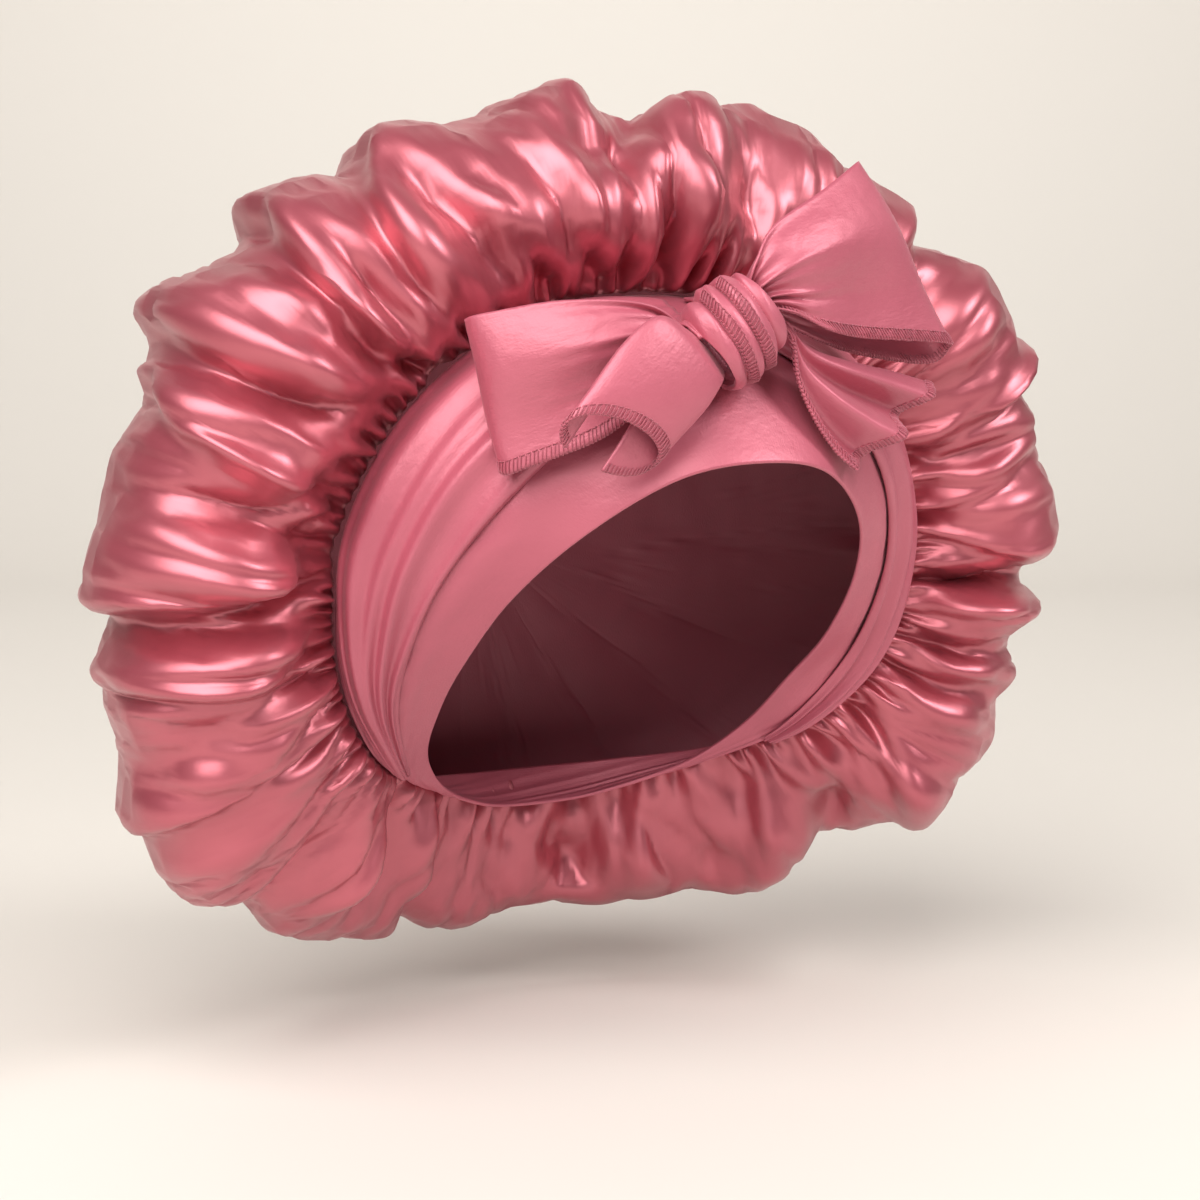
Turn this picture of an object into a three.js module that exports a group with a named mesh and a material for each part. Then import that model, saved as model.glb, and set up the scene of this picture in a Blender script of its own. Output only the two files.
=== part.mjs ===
// Satin sleep bonnet, worn: a big gathered crown on a wide band, with ties knotted in a bow at the front.
// Millimetres. The front faces -Y, up is +Z and +X is the wearer's left.
// The origin is the middle of the head that fills the bonnet.
import * as THREE from "three";

const SATIN_WALL = 1.2;
const BAND_WALL = 1.4;
const STRAP_WALL = 1.1;
const KNOT_WALL = 2;
const LAYER_GAP = 0.5;
const SEAM_GAP = 0.6;
const SEAM_SETBACK = 1.8;

const CROWN_AROUND = 98;
const BAND_AROUND = 60;
const BAND_ACROSS = 4;

const BACK_AXIS = new THREE.Vector3(0, 1, 0);

// Rings around the head, one side only: angle 0 is the top of the head, 180 is the nape.
const SEAM_RING = [
  { angle: 0, x: 0, y: -8, z: 112 },
  { angle: 25, x: 50, y: -5, z: 104 },
  { angle: 50, x: 92, y: 0, z: 74 },
  { angle: 75, x: 115, y: 6, z: 33 },
  { angle: 95, x: 118, y: 9, z: -2 },
  { angle: 115, x: 112, y: 14, z: -30 },
  { angle: 133, x: 95, y: 26, z: -55 },
  { angle: 150, x: 68, y: 55, z: -69 },
  { angle: 167, x: 33, y: 84, z: -76 },
  { angle: 180, x: 0, y: 94, z: -78 },
];
const FACE_RING = [
  { angle: 0, x: 0, y: -86, z: 57 },
  { angle: 25, x: 30, y: -80, z: 52 },
  { angle: 50, x: 56, y: -62, z: 33 },
  { angle: 75, x: 72, y: -36, z: 8 },
  { angle: 95, x: 77, y: -10, z: -17 },
  { angle: 115, x: 75, y: 14, z: -37 },
  { angle: 133, x: 69, y: 37, z: -58 },
  { angle: 150, x: 52, y: 57, z: -76 },
  { angle: 167, x: 26, y: 77, z: -88 },
  { angle: 180, x: 0, y: 84, z: -91 },
];
// The rim is where the crown stands widest. "bulge" is how far its front puffs forward of the seam.
const CROWN_RIM = [
  { angle: 0, x: 0, y: 18, z: 177, bulge: 26 },
  { angle: 25, x: 76, y: 18, z: 163, bulge: 26 },
  { angle: 50, x: 138, y: 18, z: 124, bulge: 26 },
  { angle: 75, x: 177, y: 20, z: 65, bulge: 26 },
  { angle: 95, x: 185, y: 24, z: 8, bulge: 26 },
  { angle: 115, x: 178, y: 32, z: -46, bulge: 26 },
  { angle: 133, x: 154, y: 42, z: -91, bulge: 20 },
  { angle: 150, x: 109, y: 68, z: -118, bulge: 8 },
  { angle: 167, x: 51, y: 96, z: -128, bulge: 0 },
  { angle: 180, x: 0, y: 108, z: -129, bulge: 0 },
];
const CROWN_BACK = new THREE.Vector3(0, 142, 20);
const RIM_ALONG = 0.38;
const CROWN_STATIONS = [0, 0.03, 0.08, 0.15, 0.22, 0.3, 0.38, 0.48, 0.6, 0.72, 0.84, 0.93, 1];

// Large folds of the crown. Each crest runs through an angle at the seam, half way out and at the rim. It
// slopes over "soft" degrees on both sides, less the nearer "steep" is to -1 on the side of smaller angles
// or to 1 on that of larger ones. Negative heights are creases.
const CROWN_FOLDS = [
  { seam: -172, middle: -176, rim: -178, height: 8, soft: 7, steep: 0, end: 0.85 },
  { seam: -158, middle: -161, rim: -165, height: 9, soft: 7, steep: 0, end: 0.8 },
  { seam: -144.5, middle: -158, rim: -167, height: -5, soft: 3, steep: 0, end: 0.7 },
  { seam: -137, middle: -146, rim: -149, height: 8, soft: 6, steep: 0.6, end: 0.8 },
  { seam: -130.5, middle: -137, rim: -140, height: -6, soft: 2.4, steep: 0, end: 0.7 },
  { seam: -121, middle: -127, rim: -130, height: 10, soft: 8, steep: 0, end: 0.85 },
  { seam: -116, middle: -116.5, rim: -120, height: 9, soft: 6, steep: -0.9, end: 0.7 },
  { seam: -112, middle: -109, rim: -111, height: 4, soft: 3, steep: 0, end: 0.8 },
  { seam: -103, middle: -104.5, rim: -107, height: 6, soft: 2.8, steep: 0, end: 0.65 },
  { seam: -99, middle: -100.5, rim: -101.5, height: 9, soft: 7, steep: -0.9, end: 0.7 },
  { seam: -82.5, middle: -87, rim: -91, height: 11, soft: 12, steep: -0.95, end: 0.75 },
  { seam: -76, middle: -80, rim: -76, height: 5, soft: 6, steep: 0, end: 0.85 },
  { seam: -64, middle: -70, rim: -64, height: 12, soft: 9, steep: -0.85, end: 0.75 },
  { seam: -46.5, middle: -58, rim: -57, height: 14, soft: 9, steep: -0.9, end: 0.8 },
  { seam: -50, middle: -50, rim: -46, height: 3, soft: 5, steep: 0, end: 0.9 },
  { seam: -38, middle: -45, rim: -41, height: 16, soft: 11, steep: -0.95, end: 0.8 },
  { seam: -36, middle: -37, rim: -33, height: -4, soft: 2, steep: 0, end: 0.55 },
  { seam: -31, middle: -35, rim: -26, height: 13, soft: 9, steep: -0.85, end: 0.75 },
  { seam: -22.5, middle: -29, rim: -27, height: -5, soft: 1.8, steep: 0, end: 0.35 },
  { seam: -11, middle: -15.5, rim: -9, height: 11, soft: 9, steep: 0.6, end: 0.75 },
  { seam: -6, middle: -6, rim: 1, height: -6, soft: 2, steep: 0, end: 0.6 },
  { seam: -3, middle: -1.5, rim: 10, height: 6, soft: 3.5, steep: 0, end: 0.5 },
  { seam: 1, middle: 2, rim: 12, height: 10, soft: 10, steep: -0.5, end: 0.8 },
  { seam: 14, middle: 20, rim: 26, height: 7, soft: 8, steep: 0, end: 0.85 },
  { seam: 33, middle: 36, rim: 39, height: 11, soft: 8, steep: 0.8, end: 0.8 },
  { seam: 48, middle: 50, rim: 53, height: 7, soft: 7, steep: 0, end: 0.85 },
  { seam: 65, middle: 63.5, rim: 64, height: 13, soft: 9, steep: 0.95, end: 0.75 },
  { seam: 74, middle: 76, rim: 78, height: 6, soft: 6, steep: 0, end: 0.8 },
  { seam: 80.5, middle: 88, rim: 91.5, height: 10, soft: 9, steep: 0.9, end: 0.75 },
  { seam: 99, middle: 98.5, rim: 102, height: 7, soft: 3.5, steep: 0, end: 0.7 },
  { seam: 106, middle: 110.5, rim: 110, height: 6, soft: 4, steep: -0.6, end: 0.7 },
  { seam: 119, middle: 124, rim: 118, height: 9, soft: 6, steep: 0, end: 0.8 },
  { seam: 123.5, middle: 132, rim: 133, height: 9, soft: 6, steep: 0.8, end: 0.75 },
  { seam: 131, middle: 142, rim: 146, height: -6, soft: 2.6, steep: 0, end: 0.7 },
  { seam: 140, middle: 151, rim: 155, height: 9, soft: 6, steep: 0, end: 0.8 },
  { seam: 160, middle: 166, rim: 168, height: 8, soft: 7, steep: 0, end: 0.85 },
];
// Width of a fold's steep side in degrees, and how many degrees its crest leans over it for each millimetre.
const STEEP_SIDE = 3.5;
const LEAN_OVER = 0.16;
// Gathers pulled tight at the seam, which let go as the satin runs out to the rim.
const GATHERS = { count: 34, depth: 3.6, full: 0.09, gone: 0.36 };

// The ties wrap up over the band from a pinch below each ear, in long soft pleats, to the knot.
// "inner" and "outer" are shares of the way from the face edge to the seam; "puff" lifts the pleats.
const WRAP_ROWS = [
  { angle: 3, inner: 0.6, outer: 0.86, puff: 1 },
  { angle: 14, inner: 0.44, outer: 0.95, puff: 2.4 },
  { angle: 30, inner: 0.31, outer: 0.965, puff: 3.6 },
  { angle: 50, inner: 0.27, outer: 0.965, puff: 4.4 },
  { angle: 75, inner: 0.29, outer: 0.96, puff: 4.8 },
  { angle: 95, inner: 0.33, outer: 0.95, puff: 5 },
  { angle: 115, inner: 0.36, outer: 0.92, puff: 4.6 },
  { angle: 128, inner: 0.34, outer: 0.84, puff: 3.2 },
  { angle: 137, inner: 0.36, outer: 0.7, puff: 1.6 },
];
const WRAP_PLEATS = 3;

// Straps of the bow: each row gives the two edges of the strap, from the knot to its far end.
// "lift" bows the cloth between the edges out towards the front, and "ripple" is the depth of its folds.
const LEFT_LOOP = [
  { topX: -21, topY: -71.5, topZ: 97, hemX: -13, hemY: -71.5, hemZ: 87, lift: 0, ripple: 0.5 },
  { topX: -40, topY: -75, topZ: 109, hemX: -31, hemY: -76, hemZ: 83, lift: 2, ripple: 2.5 },
  { topX: -66, topY: -66, topZ: 111, hemX: -55, hemY: -73, hemZ: 66, lift: 4, ripple: 4 },
  { topX: -87, topY: -52, topZ: 107, hemX: -77, hemY: -61, hemZ: 56, lift: 3, ripple: 2.5 },
  { topX: -92, topY: -45, topZ: 105, hemX: -83, hemY: -54, hemZ: 53, lift: 0, ripple: 1 },
  { topX: -87, topY: -40, topZ: 104, hemX: -78, hemY: -49, hemZ: 56, lift: -2, ripple: 1 },
  { topX: -62, topY: -50, topZ: 107, hemX: -55, hemY: -61, hemZ: 69, lift: -1, ripple: 1.5 },
  { topX: -36, topY: -63, topZ: 105, hemX: -31, hemY: -67, hemZ: 87, lift: 0, ripple: 1 },
  { topX: -20, topY: -68.5, topZ: 95, hemX: -13, hemY: -68.5, hemZ: 88, lift: 0, ripple: 0.3 },
];
const RIGHT_LOOP = [
  { topX: -3.5, topY: -78, topZ: 115.5, hemX: 4, hemY: -78, hemZ: 108, lift: 0, ripple: 0.5 },
  { topX: -1, topY: -80, topZ: 124, hemX: 14, hemY: -82, hemZ: 106, lift: 1, ripple: 1.5 },
  { topX: 8, topY: -77, topZ: 136, hemX: 31, hemY: -79, hemZ: 100, lift: 5, ripple: 3 },
  { topX: 32, topY: -70, topZ: 148, hemX: 52, hemY: -73, hemZ: 97, lift: 6, ripple: 4 },
  { topX: 53, topY: -60, topZ: 158, hemX: 90, hemY: -63, hemZ: 95, lift: 4, ripple: 2.5 },
  { topX: 57, topY: -54, topZ: 158, hemX: 97, hemY: -57, hemZ: 93, lift: 0, ripple: 1.5 },
  { topX: 53, topY: -49, topZ: 153, hemX: 90, hemY: -52, hemZ: 87, lift: -4, ripple: 1.5 },
  { topX: 30, topY: -58, topZ: 138, hemX: 50, hemY: -61, hemZ: 92, lift: -3, ripple: 2 },
  { topX: 8, topY: -68, topZ: 124, hemX: 20, hemY: -70, hemZ: 101, lift: -1, ripple: 1 },
  { topX: -3, topY: -73, topZ: 115, hemX: 4, hemY: -73, hemZ: 108, lift: 0, ripple: 0.3 },
];
const LEFT_TAIL = [
  { topX: 5, topY: -75, topZ: 107, hemX: 8, hemY: -75, hemZ: 103, lift: 0, ripple: 0.2 },
  { topX: 14, topY: -75, topZ: 103.5, hemX: 16.5, hemY: -77, hemZ: 98, lift: 0, ripple: 0.5 },
  { topX: 26, topY: -74, topZ: 94, hemX: 18, hemY: -79, hemZ: 83, lift: 0, ripple: 2 },
  { topX: 45, topY: -70, topZ: 89, hemX: 24, hemY: -81, hemZ: 69, lift: 2, ripple: 5 },
  { topX: 68, topY: -62, topZ: 85, hemX: 33, hemY: -81, hemZ: 58, lift: 4, ripple: 7 },
  { topX: 89, topY: -58, topZ: 80, hemX: 41, hemY: -81, hemZ: 52, lift: 4, ripple: 8 },
];
// The front tail is curled into a flat tube: its middle line, half width, the width's tilt and its depth.
const FRONT_TAIL = [
  { x: -16, y: -79.5, z: 91, half: 6.5, tilt: -50, back: 1.5, down: 0 },
  { x: -21, y: -83, z: 93, half: 11, tilt: -48, back: 2, down: 0 },
  { x: -30, y: -89, z: 95, half: 17, tilt: -44, back: 3.5, down: 1 },
  { x: -40, y: -92, z: 89, half: 19.5, tilt: -35, back: 5, down: 3 },
  { x: -52, y: -93, z: 80, half: 19.5, tilt: -24, back: 6, down: 7 },
  { x: -60, y: -92, z: 73, half: 19.5, tilt: -17, back: 6, down: 9 },
];
const KNOT = { x: -7, y: -75, z: 100, tilt: 40, length: 27, across: 18, deep: 14.5, strands: 4 };

const SATIN = new THREE.MeshStandardMaterial({ color: 0xb4566b, roughness: 0.3, metalness: 0 });
const MATTE_SATIN = new THREE.MeshStandardMaterial({ color: 0xc4677d, roughness: 0.6, metalness: 0 });

function radians(degrees) {
  return (degrees * Math.PI) / 180;
}

// Smooth value through table rows at a given place, whichever columns are asked for.
function blendRows(rows, key, at, columns) {
  let i = 0;
  while (i < rows.length - 2 && at > rows[i + 1][key]) {
    i += 1;
  }
  const before = rows[Math.max(i - 1, 0)];
  const start = rows[i];
  const end = rows[i + 1];
  const after = rows[Math.min(i + 2, rows.length - 1)];
  const span = end[key] - start[key];
  const t = (at - start[key]) / span;
  const blended = {};
  for (const column of columns) {
    const slopeIn = ((end[column] - before[column]) / (end[key] - before[key])) * span;
    const slopeOut = ((after[column] - start[column]) / (after[key] - start[key])) * span;
    blended[column] =
      (2 * t ** 3 - 3 * t ** 2 + 1) * start[column] +
      (t ** 3 - 2 * t ** 2 + t) * slopeIn +
      (3 * t ** 2 - 2 * t ** 3) * end[column] +
      (t ** 3 - t ** 2) * slopeOut;
  }
  return blended;
}

// A one-sided ring table carried round both sides of the head.
function wholeRing(rows) {
  const other = rows.slice(1, -1).map((row) => ({ ...row, angle: -row.angle, x: -row.x }));
  const around = [...other.reverse(), ...rows];
  const lead = around.slice(-3).map((row) => ({ ...row, angle: row.angle - 360 }));
  const follow = around.slice(0, 3).map((row) => ({ ...row, angle: row.angle + 360 }));
  return [...lead, ...around, ...follow];
}

const SEAM_ROWS = wholeRing(SEAM_RING);
const FACE_ROWS = wholeRing(FACE_RING);
const RIM_ROWS = wholeRing(CROWN_RIM);

function ringPoint(rows, angle) {
  const row = blendRows(rows, "angle", angle, ["x", "y", "z"]);
  return new THREE.Vector3(row.x, row.y, row.z);
}

function bezier(a, b, c, d, t) {
  return new THREE.CubicBezierCurve3(a, b, c, d).getPoint(t);
}

function smoothRise(from, to, at) {
  return THREE.MathUtils.smoothstep(at, from, to);
}

// The smooth bag of the crown before its folds: out from the seam to the rim, then round to the back.
function crownBase(angle, along) {
  const seam = ringPoint(SEAM_ROWS, angle);
  const rim = ringPoint(RIM_ROWS, angle);
  const { bulge } = blendRows(RIM_ROWS, "angle", angle, ["bulge"]);
  const outward = rim.clone().sub(seam).setY(0);
  seam.addScaledVector(outward.clone().normalize(), SEAM_GAP);
  if (along < RIM_ALONG) {
    const leave = seam.clone().addScaledVector(outward, 0.45).addScaledVector(BACK_AXIS, -0.6 * bulge);
    const arrive = rim.clone().addScaledVector(BACK_AXIS, -1.3 * bulge);
    return bezier(seam, leave, arrive, rim, along / RIM_ALONG);
  }
  const spread = rim.clone().sub(CROWN_BACK).setY(0);
  const turn = rim.clone().addScaledVector(BACK_AXIS, 0.6 * (CROWN_BACK.y - rim.y));
  const close = CROWN_BACK.clone().addScaledVector(spread, 0.6);
  return bezier(rim, turn, close, CROWN_BACK, (along - RIM_ALONG) / (1 - RIM_ALONG));
}

// Height of the folds at a place on the crown, and how far their crests lean over their steep sides.
function crownFolds(angle, along) {
  const out = Math.min(along / RIM_ALONG, 1);
  let height = 0;
  let lean = 0;
  for (const fold of CROWN_FOLDS) {
    const turn = 4 * fold.middle - 3 * fold.seam - fold.rim;
    const bend = 2 * fold.seam + 2 * fold.rim - 4 * fold.middle;
    const centre = fold.seam + out * turn + out ** 2 * bend;
    const off = (((angle - centre) % 360) + 540) % 360 - 180;
    const steepWidth = fold.soft + (STEEP_SIDE - fold.soft) * Math.abs(fold.steep);
    const width = off * fold.steep > 0 ? steepWidth : fold.soft;
    const fade = smoothRise(0, 0.3, along) * (1 - smoothRise(0.5 * fold.end, fold.end, along));
    const crest = fold.height * Math.exp(-((off / width) ** 2)) * fade;
    height += crest;
    lean += fold.steep * LEAN_OVER * crest;
  }
  const tight = smoothRise(0, GATHERS.full, along) * (1 - smoothRise(GATHERS.full, GATHERS.gone, along));
  height += GATHERS.depth * tight * Math.sin(radians(angle * GATHERS.count));
  return { height, lean };
}

// Outward direction of a surface given as a function of two places.
function surfaceNormal(surface, u, v, stepU, stepV, outside) {
  const acrossU = surface(u + stepU, v).sub(surface(u - stepU, v));
  const acrossV = surface(u, v + stepV).sub(surface(u, v - stepV));
  const normal = acrossU.cross(acrossV).normalize();
  return normal.dot(outside) < 0 ? normal.negate() : normal;
}

function crownPoint(angle, along) {
  const { height, lean } = crownFolds(angle, along);
  const base = crownBase(angle + lean, along);
  if (along > 0.98) {
    return base;
  }
  const outside = base.clone().sub(new THREE.Vector3(0, 50, 20));
  const place = Math.max(along, 0.01);
  const normal = surfaceNormal(crownBase, angle, place, 1, 0.008, outside);
  return base.addScaledVector(normal, height);
}

// The band's outer face, from the face edge (across 0) to the seam (across 1).
function bandPoint(angle, across) {
  const face = ringPoint(FACE_ROWS, angle);
  const seam = ringPoint(SEAM_ROWS, angle);
  const width = face.distanceTo(seam);
  const outward = face.clone().add(seam).setY(0).normalize();
  const swell = new THREE.Vector3().copy(outward).addScaledVector(BACK_AXIS, -0.35).normalize();
  const rise = 0.13 * width * Math.sin(Math.PI * across);
  return face.lerp(seam, across * (1 - SEAM_SETBACK / width)).addScaledVector(swell, rise);
}

function bandNormal(angle, across) {
  const outside = bandPoint(angle, across).setY(-20);
  return surfaceNormal(bandPoint, angle, across, 1, 0.02, outside);
}

// Long pleats that close up towards both ends of the tie, where it is pinched.
function wrapPoint(side, along, across) {
  const first = WRAP_ROWS[0].angle;
  const last = WRAP_ROWS[WRAP_ROWS.length - 1].angle;
  const angle = first + (last - first) * along;
  const row = blendRows(WRAP_ROWS, "angle", angle, ["inner", "outer", "puff"]);
  const place = row.inner + (row.outer - row.inner) * across;
  const pleat = Math.sin(Math.PI * WRAP_PLEATS * (across + 0.12 * along)) ** 2;
  const crest = Math.sin(Math.PI * across) ** 0.5;
  const lift = STRAP_WALL + LAYER_GAP + row.puff * crest * (0.35 + 0.65 * pleat);
  const normal = bandNormal(side * angle, place);
  return bandPoint(side * angle, place).addScaledVector(normal, lift);
}

const STRAP_COLUMNS = ["topX", "topY", "topZ", "hemX", "hemY", "hemZ", "lift", "ripple"];

// A strap of the bow: a sheet between its two edges, rippled in folds that run along it.
function strapPoint(rows, folds, along, across) {
  const stations = rows.map((row, i) => ({ ...row, along: i / (rows.length - 1) }));
  const row = blendRows(stations, "along", along, STRAP_COLUMNS);
  const top = new THREE.Vector3(row.topX, row.topY, row.topZ);
  const hem = new THREE.Vector3(row.hemX, row.hemY, row.hemZ);
  const bow = row.lift * Math.sin(Math.PI * across);
  const fold = row.ripple * Math.sin(Math.PI * folds * across) * Math.sin(Math.PI * across) ** 0.4;
  return top.lerp(hem, across).addScaledVector(BACK_AXIS, -bow - fold);
}

// The curled tail: cloth carried most of the way round a flat oval, open along the underside.
function curlPoint(along, across) {
  const stations = FRONT_TAIL.map((row, i) => ({ ...row, along: i / (FRONT_TAIL.length - 1) }));
  const row = blendRows(stations, "along", along, ["x", "y", "z", "half", "tilt", "back", "down"]);
  const turn = radians(-125 + 310 * across);
  const wide = new THREE.Vector3(Math.cos(radians(row.tilt)), 0, Math.sin(radians(row.tilt)));
  const deep = new THREE.Vector3(0, row.back, -row.down);
  return new THREE.Vector3(row.x, row.y, row.z)
    .addScaledVector(wide, row.half * Math.sin(turn))
    .addScaledVector(deep, 1 - Math.cos(turn));
}

// The knot: one strap wound round the middle of the bow, open where the loops and tails come out.
function knotPoint(around, along) {
  const axis = new THREE.Vector3(Math.cos(radians(KNOT.tilt)), 0, Math.sin(radians(KNOT.tilt)));
  const side = new THREE.Vector3(-axis.z, 0, axis.x);
  const barrel = 1 - 0.2 * (2 * along - 1) ** 2;
  const strand = 1 + 0.05 * Math.cos(2 * Math.PI * KNOT.strands * along + 0.6 * Math.sin(around));
  return new THREE.Vector3(KNOT.x, KNOT.y, KNOT.z)
    .addScaledVector(axis, (along - 0.5) * KNOT.length)
    .addScaledVector(side, KNOT.across * barrel * strand * Math.cos(around))
    .addScaledVector(BACK_AXIS, -KNOT.deep * barrel * strand * Math.sin(around));
}

// Solid wall behind a sheet of points. Rows may join up into a ring, and the last column may meet in one point.
function wallBehind(points, thickness, { ring = false, capped = false } = {}) {
  const rows = points.length;
  const columns = points[0].length;
  const front = [];
  const place = points.map((row, i) =>
    row.map((point, j) => {
      if (capped && j === columns - 1 && i > 0) {
        return -1;
      }
      front.push(point.clone());
      return front.length - 1;
    }),
  );
  if (capped) {
    place.forEach((row) => row.splice(columns - 1, 1, place[0][columns - 1]));
  }
  const faces = [];
  for (let i = 0; i < (ring ? rows : rows - 1); i += 1) {
    const next = (i + 1) % rows;
    for (let j = 0; j < columns - 1; j += 1) {
      const [a, b, c, d] = [place[i][j], place[next][j], place[next][j + 1], place[i][j + 1]];
      faces.push([a, b, c]);
      if (c !== d) {
        faces.push([a, c, d]);
      }
    }
  }
  const normals = front.map(() => new THREE.Vector3());
  for (const [a, b, c] of faces) {
    const normal = front[b].clone().sub(front[a]).cross(front[c].clone().sub(front[a]));
    [a, b, c].forEach((corner) => normals[corner].add(normal));
  }
  const back = front.map((point, i) => point.clone().addScaledVector(normals[i].normalize(), -thickness));
  const shift = front.length;
  const all = faces.flatMap(([a, b, c]) => [[a, b, c], [a + shift, c + shift, b + shift]]);
  const edges = [place.map((row) => row[0])];
  if (!capped) {
    edges.push(place.map((row) => row[columns - 1]).reverse());
  }
  if (!ring) {
    edges.push([...place[rows - 1]], [...place[0]].reverse());
  }
  for (const edge of edges) {
    const path = ring ? [...edge, edge[0]] : edge;
    for (let i = 0; i < path.length - 1; i += 1) {
      const [a, b] = [path[i], path[i + 1]];
      all.push([a, a + shift, b], [b, a + shift, b + shift]);
    }
  }
  const geometry = new THREE.BufferGeometry();
  const places = [...front, ...back].flatMap((p) => p.toArray());
  geometry.setAttribute("position", new THREE.Float32BufferAttribute(places, 3));
  geometry.setIndex(all.flat());
  return geometry;
}

function sheet(rows, columns, pointAt) {
  return rows.map((u) => columns.map((v) => pointAt(u, v)));
}

function evenly(from, to, count) {
  return Array.from({ length: count + 1 }, (_, i) => from + ((to - from) * i) / count);
}

function ringAngles(count) {
  return evenly(-180, 180, count).slice(0, -1);
}

const group = new THREE.Group();

function addPiece(name, geometry, material) {
  geometry.computeVertexNormals();
  const mesh = new THREE.Mesh(geometry, material);
  mesh.name = name;
  group.add(mesh);
}

const crown = sheet(ringAngles(CROWN_AROUND), CROWN_STATIONS, crownPoint);
addPiece("crown", wallBehind(crown, SATIN_WALL, { ring: true, capped: true }), SATIN);

const band = sheet(ringAngles(BAND_AROUND), evenly(0, 1, BAND_ACROSS), bandPoint);
addPiece("band", wallBehind(band, BAND_WALL, { ring: true }), MATTE_SATIN);

for (const [name, side] of [["tie_wrap_left", 1], ["tie_wrap_right", -1]]) {
  const wrap = sheet(evenly(0, 1, 18), evenly(0, 1, 7), (along, across) => wrapPoint(side, along, across));
  addPiece(name, wallBehind(side > 0 ? wrap : wrap.reverse(), STRAP_WALL), MATTE_SATIN);
}

const bowStraps = [
  { name: "bow_loop_right", rows: LEFT_LOOP, folds: 2, steps: 16 },
  { name: "bow_loop_left", rows: RIGHT_LOOP, folds: 2, steps: 18 },
  { name: "bow_tail_left", rows: LEFT_TAIL, folds: 4, steps: 8 },
];
for (const { name, rows, folds, steps } of bowStraps) {
  const surface = (along, across) => strapPoint(rows, folds, along, across);
  const strap = sheet(evenly(0, 1, steps), evenly(0, 1, 8), surface);
  addPiece(name, wallBehind(strap, STRAP_WALL), MATTE_SATIN);
}
const curl = sheet(evenly(0, 1, 7), evenly(0, 1, 14), curlPoint);
addPiece("bow_tail_right", wallBehind(curl, STRAP_WALL), MATTE_SATIN);

const knot = sheet(evenly(0, 2 * Math.PI, 20).slice(0, -1), evenly(0, 1, 8), knotPoint);
addPiece("bow_knot", wallBehind(knot, KNOT_WALL, { ring: true }), MATTE_SATIN);

export default group;
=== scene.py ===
"""Looks of the satin sleep bonnet: cloth, overlocked hems, materials, light and camera.

Shapes are worked out in millimetres in the row frame (front faces -Y, up is +Z) and turned into metres
when a mesh is made. The tables of rings, folds and straps are those of the part's solids.
"""

import math

import bpy
import numpy as np
from mathutils import Matrix, Vector


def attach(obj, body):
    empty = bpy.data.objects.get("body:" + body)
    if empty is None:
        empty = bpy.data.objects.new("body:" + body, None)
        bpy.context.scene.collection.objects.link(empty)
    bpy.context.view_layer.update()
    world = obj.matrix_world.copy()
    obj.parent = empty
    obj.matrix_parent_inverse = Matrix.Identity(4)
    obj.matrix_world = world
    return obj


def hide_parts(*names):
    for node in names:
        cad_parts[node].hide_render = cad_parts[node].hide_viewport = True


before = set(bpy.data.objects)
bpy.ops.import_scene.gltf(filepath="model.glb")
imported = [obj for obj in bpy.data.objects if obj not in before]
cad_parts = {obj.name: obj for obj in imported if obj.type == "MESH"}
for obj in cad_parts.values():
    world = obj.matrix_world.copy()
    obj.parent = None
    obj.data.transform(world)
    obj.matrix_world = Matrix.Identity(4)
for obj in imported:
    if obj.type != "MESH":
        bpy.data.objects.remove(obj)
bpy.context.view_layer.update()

METRES = 0.001
CAMERA_AZIMUTH = math.radians(-29)
CAMERA_LENS, CAMERA_LEFT = 81.5, 0.0144  # in mm and in metres
BACKWARD = np.array([0.0, 1.0, 0.0])


def table(columns, rows):
    """A short table as one array for each named column."""
    names = columns.split()
    return {name: np.array([row[i] for row in rows], float) for i, name in enumerate(names)}


# Rings round the head, one side: angle 0 is the top, 180 the nape.
SEAM = table("angle x y z", [
    (0, 0, -8, 112), (25, 50, -5, 104), (50, 92, 0, 74), (75, 115, 6, 33), (95, 118, 9, -2),
    (115, 112, 14, -30), (133, 95, 26, -55), (150, 68, 55, -69), (167, 33, 84, -76), (180, 0, 94, -78),
])
FACE = table("angle x y z", [
    (0, 0, -86, 57), (25, 30, -80, 52), (50, 56, -62, 33), (75, 72, -36, 8), (95, 77, -10, -17),
    (115, 75, 14, -37), (133, 69, 37, -58), (150, 52, 57, -76), (167, 26, 77, -88), (180, 0, 84, -91),
])
RIM = table("angle x y z bulge", [
    (0, 0, 18, 177, 26), (25, 76, 18, 163, 26), (50, 138, 18, 124, 26), (75, 177, 20, 65, 26),
    (95, 185, 24, 8, 26), (115, 178, 32, -46, 26), (133, 154, 42, -91, 20), (150, 109, 68, -118, 8),
    (167, 51, 96, -128, 0), (180, 0, 108, -129, 0),
])
CROWN_BACK = np.array([0.0, 142.0, 20.0])
RIM_ALONG = 0.38
SEAM_GAP = 0.6

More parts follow.
